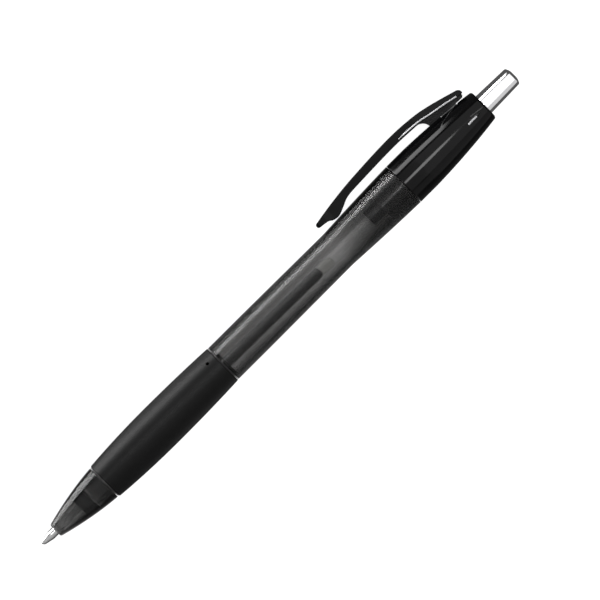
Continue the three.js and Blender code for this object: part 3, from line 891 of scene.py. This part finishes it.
def make_clip_edges():
    """A painted highlight along both sides of the clip's root: bright metal strips on the black clip
    that stand for its fine bright edge.
    """
    line = through([
        (clip_rear - 17, clip_under + 0.46),
        (clip_rear - 14, clip_under + 0.32),
        (clip_rear - 11, clip_under + 0.02),
        (clip_rear - 8, clip_crown - 2.72),
        (clip_rear - 5, clip_crown - 3.25),
        (clip_rear - 1.6, clip_crown - 3.98),
    ], 40)
    start = line[0][0]
    sunk, rising_length = 0.16, 5
    depth = [clip_half_width(station) - sunk * (1 - smooth_step((station - start) / rising_length))
             for station, _ in line]
    for side, name in ((1, "clip_edge_highlight_near"), (-1, "clip_edge_highlight_far")):
        finish_mesh(name, edge_strip(line, depth, 0.24, side), HIGHLIGHT_PAINT, "pocket_clip", [])


def make_button():
    end_radius = 2.27
    wall = 0.65
    end_wall = 4.4
    corner = (button_end - 0.35, end_radius - 0.3)
    outside = [
        (button_front, button_radius),
        (housing_rear, button_radius),
        (button_end - 1.0, end_radius),
        *bend((button_end - 0.65, end_radius - 0.03), (button_end - 0.45, end_radius - 0.06),
              corner, 4),
        *bend(corner, (button_end - 0.03, end_radius - 0.9), (button_end, 0.9), 8)[1:],
        (button_end, 0),
    ]
    inside = [(button_end - end_wall, 0), (button_end - end_wall, button_radius - wall),
              (button_front, button_radius - wall)]
    bm = turned([*outside, *inside, outside[0]], 96)
    finish_mesh("button_bright", bm, CHROME, "push_button", ["button"])


# ---- Refill and click mechanism ------------------------------------------------------------

def make_tip():
    socket = ball_radius + 0.02
    stub = SHANK_RADIUS - 0.23
    shank_rear = holder_front - SEAM
    cone_rear = (2.4, SHANK_RADIUS - 0.04)
    outside = [
        (tip_front, socket + 0.05),
        (tip_front + 0.28, 0.57),
        cone_rear,
        *bend(cone_rear, (2.6, SHANK_RADIUS), (2.9, SHANK_RADIUS), 4)[1:],
        (shank_rear, SHANK_RADIUS),
        (shank_rear, stub),
        (tip_rear, stub),
    ]
    throat, channel = 0.15, 0.45
    bore = [
        (tip_front, ball_radius - 0.005),
        (ball_radius - 0.05, socket),
        (ball_radius + 0.2, socket),
        (ball_radius + 0.4, throat),
        (ball_radius + 0.9, throat),
        (ball_radius + 1.1, channel),
        (tip_rear, channel),
    ]
    bm = turned(hollow(outside, bore), SMALL_SIDES)
    finish_mesh("tip_steel", bm, STEEL, "refill", ["writing_tip"])


def make_ball():
    steps = 24
    angles = [math.pi * i / steps for i in range(steps + 1)]
    outline = [(ball_radius * (1 - math.cos(angle)), ball_radius * math.sin(angle))
               for angle in angles]
    outline[0], outline[-1] = (0.0, 0.0), (2 * ball_radius, 0.0)
    finish_mesh("ball_polished", turned(outline, 48), STEEL, "rolling_ball", ["writing_ball"])


def make_holder():
    shoulder = spring_rear + SEAM
    tip_bore, ink_bore = SHANK_RADIUS - 0.18, 0.6
    tip_bore_rear = holder_front + 3
    outside = [(holder_front, SHANK_RADIUS), (shoulder, SHANK_RADIUS), (shoulder, tube_radius),
               (tube_front - SEAM, tube_radius), (tube_front - SEAM, PLUG_RADIUS),
               (holder_rear, PLUG_RADIUS)]
    bore = [(holder_front, tip_bore), (tip_bore_rear, tip_bore),
            (tip_bore_rear, ink_bore), (holder_rear, ink_bore)]
    bm = turned(soften(hollow(outside, bore), 0.06, 2), SMALL_SIDES)
    finish_mesh("holder_clear", bm, TUBE, "refill", ["tip_holder"])


def make_tube():
    tube = hollow([(tube_front, tube_radius), (tube_rear, tube_radius)],
                  [(tube_front, TUBE_BORE), (tube_rear, TUBE_BORE)])
    finish_mesh("tube_translucent", lean(turned(soften(tube, 0.05, 2), SMALL_SIDES)), TUBE, "refill",
                ["refill_tube"])


def make_ink():
    """The ink and the grease behind it, both wetting the tube's bore and dished at their rear."""
    wet = TUBE_BORE + 0.004
    column = [(ink_front, 0), (ink_front, wet), (ink_rear - 0.5, wet), (ink_rear, wet * 0.7),
              (ink_rear - 0.2, 0)]
    finish_mesh("ink_column", lean(turned(column, SMALL_SIDES)), INK, "refill", ["ink"])
    follower = [(grease_front, 0), (grease_front + 0.3, wet * 0.7), (grease_front, wet),
                (grease_rear - 0.6, wet), (grease_rear, wet * 0.6), (grease_rear - 0.3, 0)]
    finish_mesh("grease_clear", lean(turned(follower, SMALL_SIDES)), GREASE, "refill",
                ["follower_grease"])


def make_plug():
    head = plug_rear - 0.75
    vent = 0.3
    stopper = soften(hollow(
        [(plug_front, PLUG_RADIUS), (head, PLUG_RADIUS), (head, tube_radius),
         (plug_rear, tube_radius)],
        [(plug_front, vent), (plug_rear, vent)]), 0.08, 2)
    finish_mesh("tail_stopper", lean(turned(stopper, SMALL_SIDES)), TUBE, "refill", ["tail_plug"])


def make_rotor():
    corner, groove = 0.25, 0.12
    body_rear = rotor_rear - 0.9
    body = [
        (rotor_front, 0),
        *bend((rotor_front, ROTOR_RADIUS - corner), (rotor_front, ROTOR_RADIUS),
              (rotor_front + corner, ROTOR_RADIUS), 4),
        (rotor_front + 1.1, ROTOR_RADIUS),
        (rotor_front + 1.2, ROTOR_RADIUS - groove),
        (rotor_front + 1.6, ROTOR_RADIUS - groove),
        (rotor_front + 1.7, ROTOR_RADIUS),
        (body_rear, ROTOR_RADIUS),
        (body_rear, 0),
    ]
    rib_count, rib_length, rib_half_width = 4, 1.5, 0.35
    rib_inner, rib_outer = 1.6, 2.6
    rib_rear = guide_front + 4.0 - 0.3
    rib_front = rib_rear - rib_length
    ribs = []
    for k in range(rib_count):
        rib = prism([(rib_front, rib_inner), (rib_rear, rib_inner), (rib_rear, rib_outer),
                     (rib_front, rib_outer)], -rib_half_width, rib_half_width)
        turn = Matrix.Rotation(2 * math.pi * k / rib_count, 4, "X")
        bmesh.ops.transform(rib, matrix=turn, verts=rib.verts)
        ribs.append(rib)
    finish_mesh("rotor_moulded", combined(turned(body, SMALL_SIDES), ribs, "UNION"), DARK,
                "click_rotor", ["rotor"])


def make_spring():
    """The spring as far as the grip hides it; behind that is the room the button's travel needs."""
    steps, sides, turns = 40, 12, 9
    half_wire = SPRING_WIRE / 2
    radius = SHANK_RADIUS + 0.07 + half_wire
    closed = SPRING_WIRE + 0.08
    length = grip_front - 0.05 - spring_front
    pitch = (length - SPRING_WIRE - closed) / (turns - 1)
    sections = []
    for i in range(turns * steps + 1):
        turn = i / steps
        open_turns = max(turn - 1, 0)
        station = spring_front + half_wire + (turn - open_turns) * closed + open_turns * pitch
        angle = 2 * math.pi * turn
        ring = []
        for k in range(sides):
            around = 2 * math.pi * k / sides
            r = radius + half_wire * math.cos(around)
            ring.append((station + half_wire * math.sin(around), r * math.cos(angle),
                         r * math.sin(angle)))
        sections.append(ring)
    finish_mesh("spring_wire", loft(sections), WIRE, "pen_body", ["spring"])


# ---- Light, floor and camera ---------------------------------------------------------------

FRAME_WIDTH = 0.1299
CAMERA_DISTANCE = 1.6
AIM_STATION = 76.78
AIM_HEIGHT = -1.935
PEN_TILT = math.radians(44.864)
SENSOR_WIDTH = 36
FAR_CLIP = 20
KEY_DISTANCE = 0.5
BOX_DISTANCE = 0.6
LAMP_DISTANCE = 0.59
SURROUND_LIGHT = 0.1
FLOOR_GLOW = 0.93
FLOOR_HALF_SIZE = 2.0


def pen_direction(degrees):
    """Unit vector across the pen: 0 is towards the camera, 90 towards the clip."""
    angle = math.radians(degrees)
    return (in_row.to_3x3() @ Vector((0, math.sin(angle), math.cos(angle)))).normalized()


def area_light(name, degrees, stations, distance, width, radiance, shape="RECTANGLE"):
    """A softbox facing the pen, between two stations along it. Its width is in metres."""
    front, rear = stations
    length = (rear - front) * MM
    data = bpy.data.lights.new(name, "AREA")
    data.shape = shape
    data.size = length
    data.size_y = width
    area = length * width * (math.pi / 4 if shape == "ELLIPSE" else 1)
    data.energy = radiance * math.pi * area
    light = bpy.data.objects.new(name, data)
    bpy.context.scene.collection.objects.link(light)
    out = pen_direction(degrees)
    along = Vector((1, 0, 0))
    turn = Matrix((along, out.cross(along), out)).transposed()
    place = in_row @ Vector(((front + rear) / 2, 0, 0)) + out * distance
    light.matrix_world = Matrix.Translation(place) @ turn.to_4x4()
    light.visible_camera = False
    light.visible_transmission = False
    return light


def make_lights():
    area_light("nose_key", degrees=93, stations=(-450, -50), distance=KEY_DISTANCE,
               width=0.44, radiance=8.5)
    area_light("barrel_key", degrees=74, stations=(-50, 116), distance=KEY_DISTANCE,
               width=0.2, radiance=13.0)
    area_light("barrel_glow", degrees=94, stations=(30, 116), distance=KEY_DISTANCE,
               width=0.26, radiance=3.3)
    area_light("housing_key", degrees=67, stations=(116, 205), distance=KEY_DISTANCE,
               width=0.18, radiance=10.5)
    area_light("overhead_box", degrees=-2, stations=(-1500, 156), distance=BOX_DISTANCE,
               width=1.36, radiance=0.7)
    area_light("button_box", degrees=-2, stations=(156, 600), distance=BOX_DISTANCE,
               width=1.36, radiance=1.15)
    area_light("low_fill", degrees=-72, stations=(-500, 156), distance=KEY_DISTANCE,
               width=0.3, radiance=0.5)
    area_light("button_fill", degrees=-73, stations=(156, 600), distance=KEY_DISTANCE,
               width=0.4, radiance=0.6)
    area_light("round_lamp", degrees=0, stations=(104, 236), distance=LAMP_DISTANCE,
               width=0.128, radiance=12.0, shape="ELLIPSE")
    area_light("point_lamp", degrees=14, stations=(-45, 25), distance=LAMP_DISTANCE,
               width=0.06, radiance=24.0)
    for side, degrees, width in (("clip", 122, 0.36), ("lower", -113, 0.46)):
        rim = area_light(f"{side}_side_rim", degrees, (14, 103), KEY_DISTANCE, width, 0.8)
        rim.visible_diffuse = False


def make_world():
    """A white surround that's only dim where a piece reflects it or is lit by it."""
    world = bpy.data.worlds.new("studio")
    bpy.context.scene.world = world
    world.use_nodes = True
    nodes, links = world.node_tree.nodes, world.node_tree.links
    ray = nodes.new("ShaderNodeLightPath")
    seen = nodes.new("ShaderNodeMath")
    seen.operation = "MAXIMUM"
    links.new(ray.outputs["Is Camera Ray"], seen.inputs[0])
    links.new(ray.outputs["Is Transmission Ray"], seen.inputs[1])
    strength = nodes.new("ShaderNodeMapRange")
    strength.inputs["To Min"].default_value = SURROUND_LIGHT
    strength.inputs["To Max"].default_value = 1.0
    links.new(seen.outputs["Value"], strength.inputs["Value"])
    background = nodes["Background"]
    background.inputs["Color"].default_value = (1, 1, 1, 1)
    links.new(strength.outputs["Result"], background.inputs["Strength"])


def make_floor():
    """A pale, faintly glowing floor, which no glossy piece mirrors."""
    made = Maker("pale_floor").set(ior=1.3)
    made.colours(made.noise(40, 3), (0.24, 0.24, 0.24), (0.26, 0.26, 0.26))
    made.shader.inputs["Emission Color"].default_value = (1, 1, 1, 1)
    made.shader.inputs["Emission Strength"].default_value = FLOOR_GLOW
    made.roughness(made.noise(60, 2), 0.7, 0.8)
    bm = bmesh.new()
    bmesh.ops.create_grid(bm, x_segments=4, y_segments=4, size=FLOOR_HALF_SIZE)
    mesh = bpy.data.meshes.new("floor")
    bm.to_mesh(mesh)
    bm.free()
    floor = bpy.data.objects.new("floor", mesh)
    mesh.materials.append(made.material)
    bpy.context.scene.collection.objects.link(floor)
    floor.visible_glossy = False
    floor.visible_shadow = False


def make_camera():
    data = bpy.data.cameras.new("camera")
    data.sensor_width = SENSOR_WIDTH
    data.lens = SENSOR_WIDTH * CAMERA_DISTANCE / FRAME_WIDTH
    data.clip_end = FAR_CLIP
    camera = bpy.data.objects.new("camera", data)
    bpy.context.scene.collection.objects.link(camera)
    across = in_row.to_3x3().normalized()
    right = across @ Vector((math.cos(PEN_TILT), -math.sin(PEN_TILT), 0))
    up = across @ Vector((math.sin(PEN_TILT), math.cos(PEN_TILT), 0))
    back = across @ Vector((0, 0, 1))
    turn = Matrix((right, up, back)).transposed()
    aim = in_row @ Vector((AIM_STATION, AIM_HEIGHT, 0))
    camera.matrix_world = Matrix.Translation(aim + back * CAMERA_DISTANCE) @ turn.to_4x4()
    bpy.context.scene.camera = camera


make_nose()
make_barrel()
make_collars()
make_grip()
make_housing()
make_housing_lines()
make_clip()
make_clip_edges()
make_button()
make_tip()
make_ball()
make_holder()
make_tube()
make_ink()
make_plug()
make_rotor()
make_spring()
for hidden_node in ("cam_guide", "plunger"):
    node = frame["nodes"][hidden_node]
    node.data.materials.clear()
    node.data.materials.append(DARK)
make_floor()
make_lights()
make_world()
make_camera()
bpy.context.scene.view_settings.view_transform = "Standard"
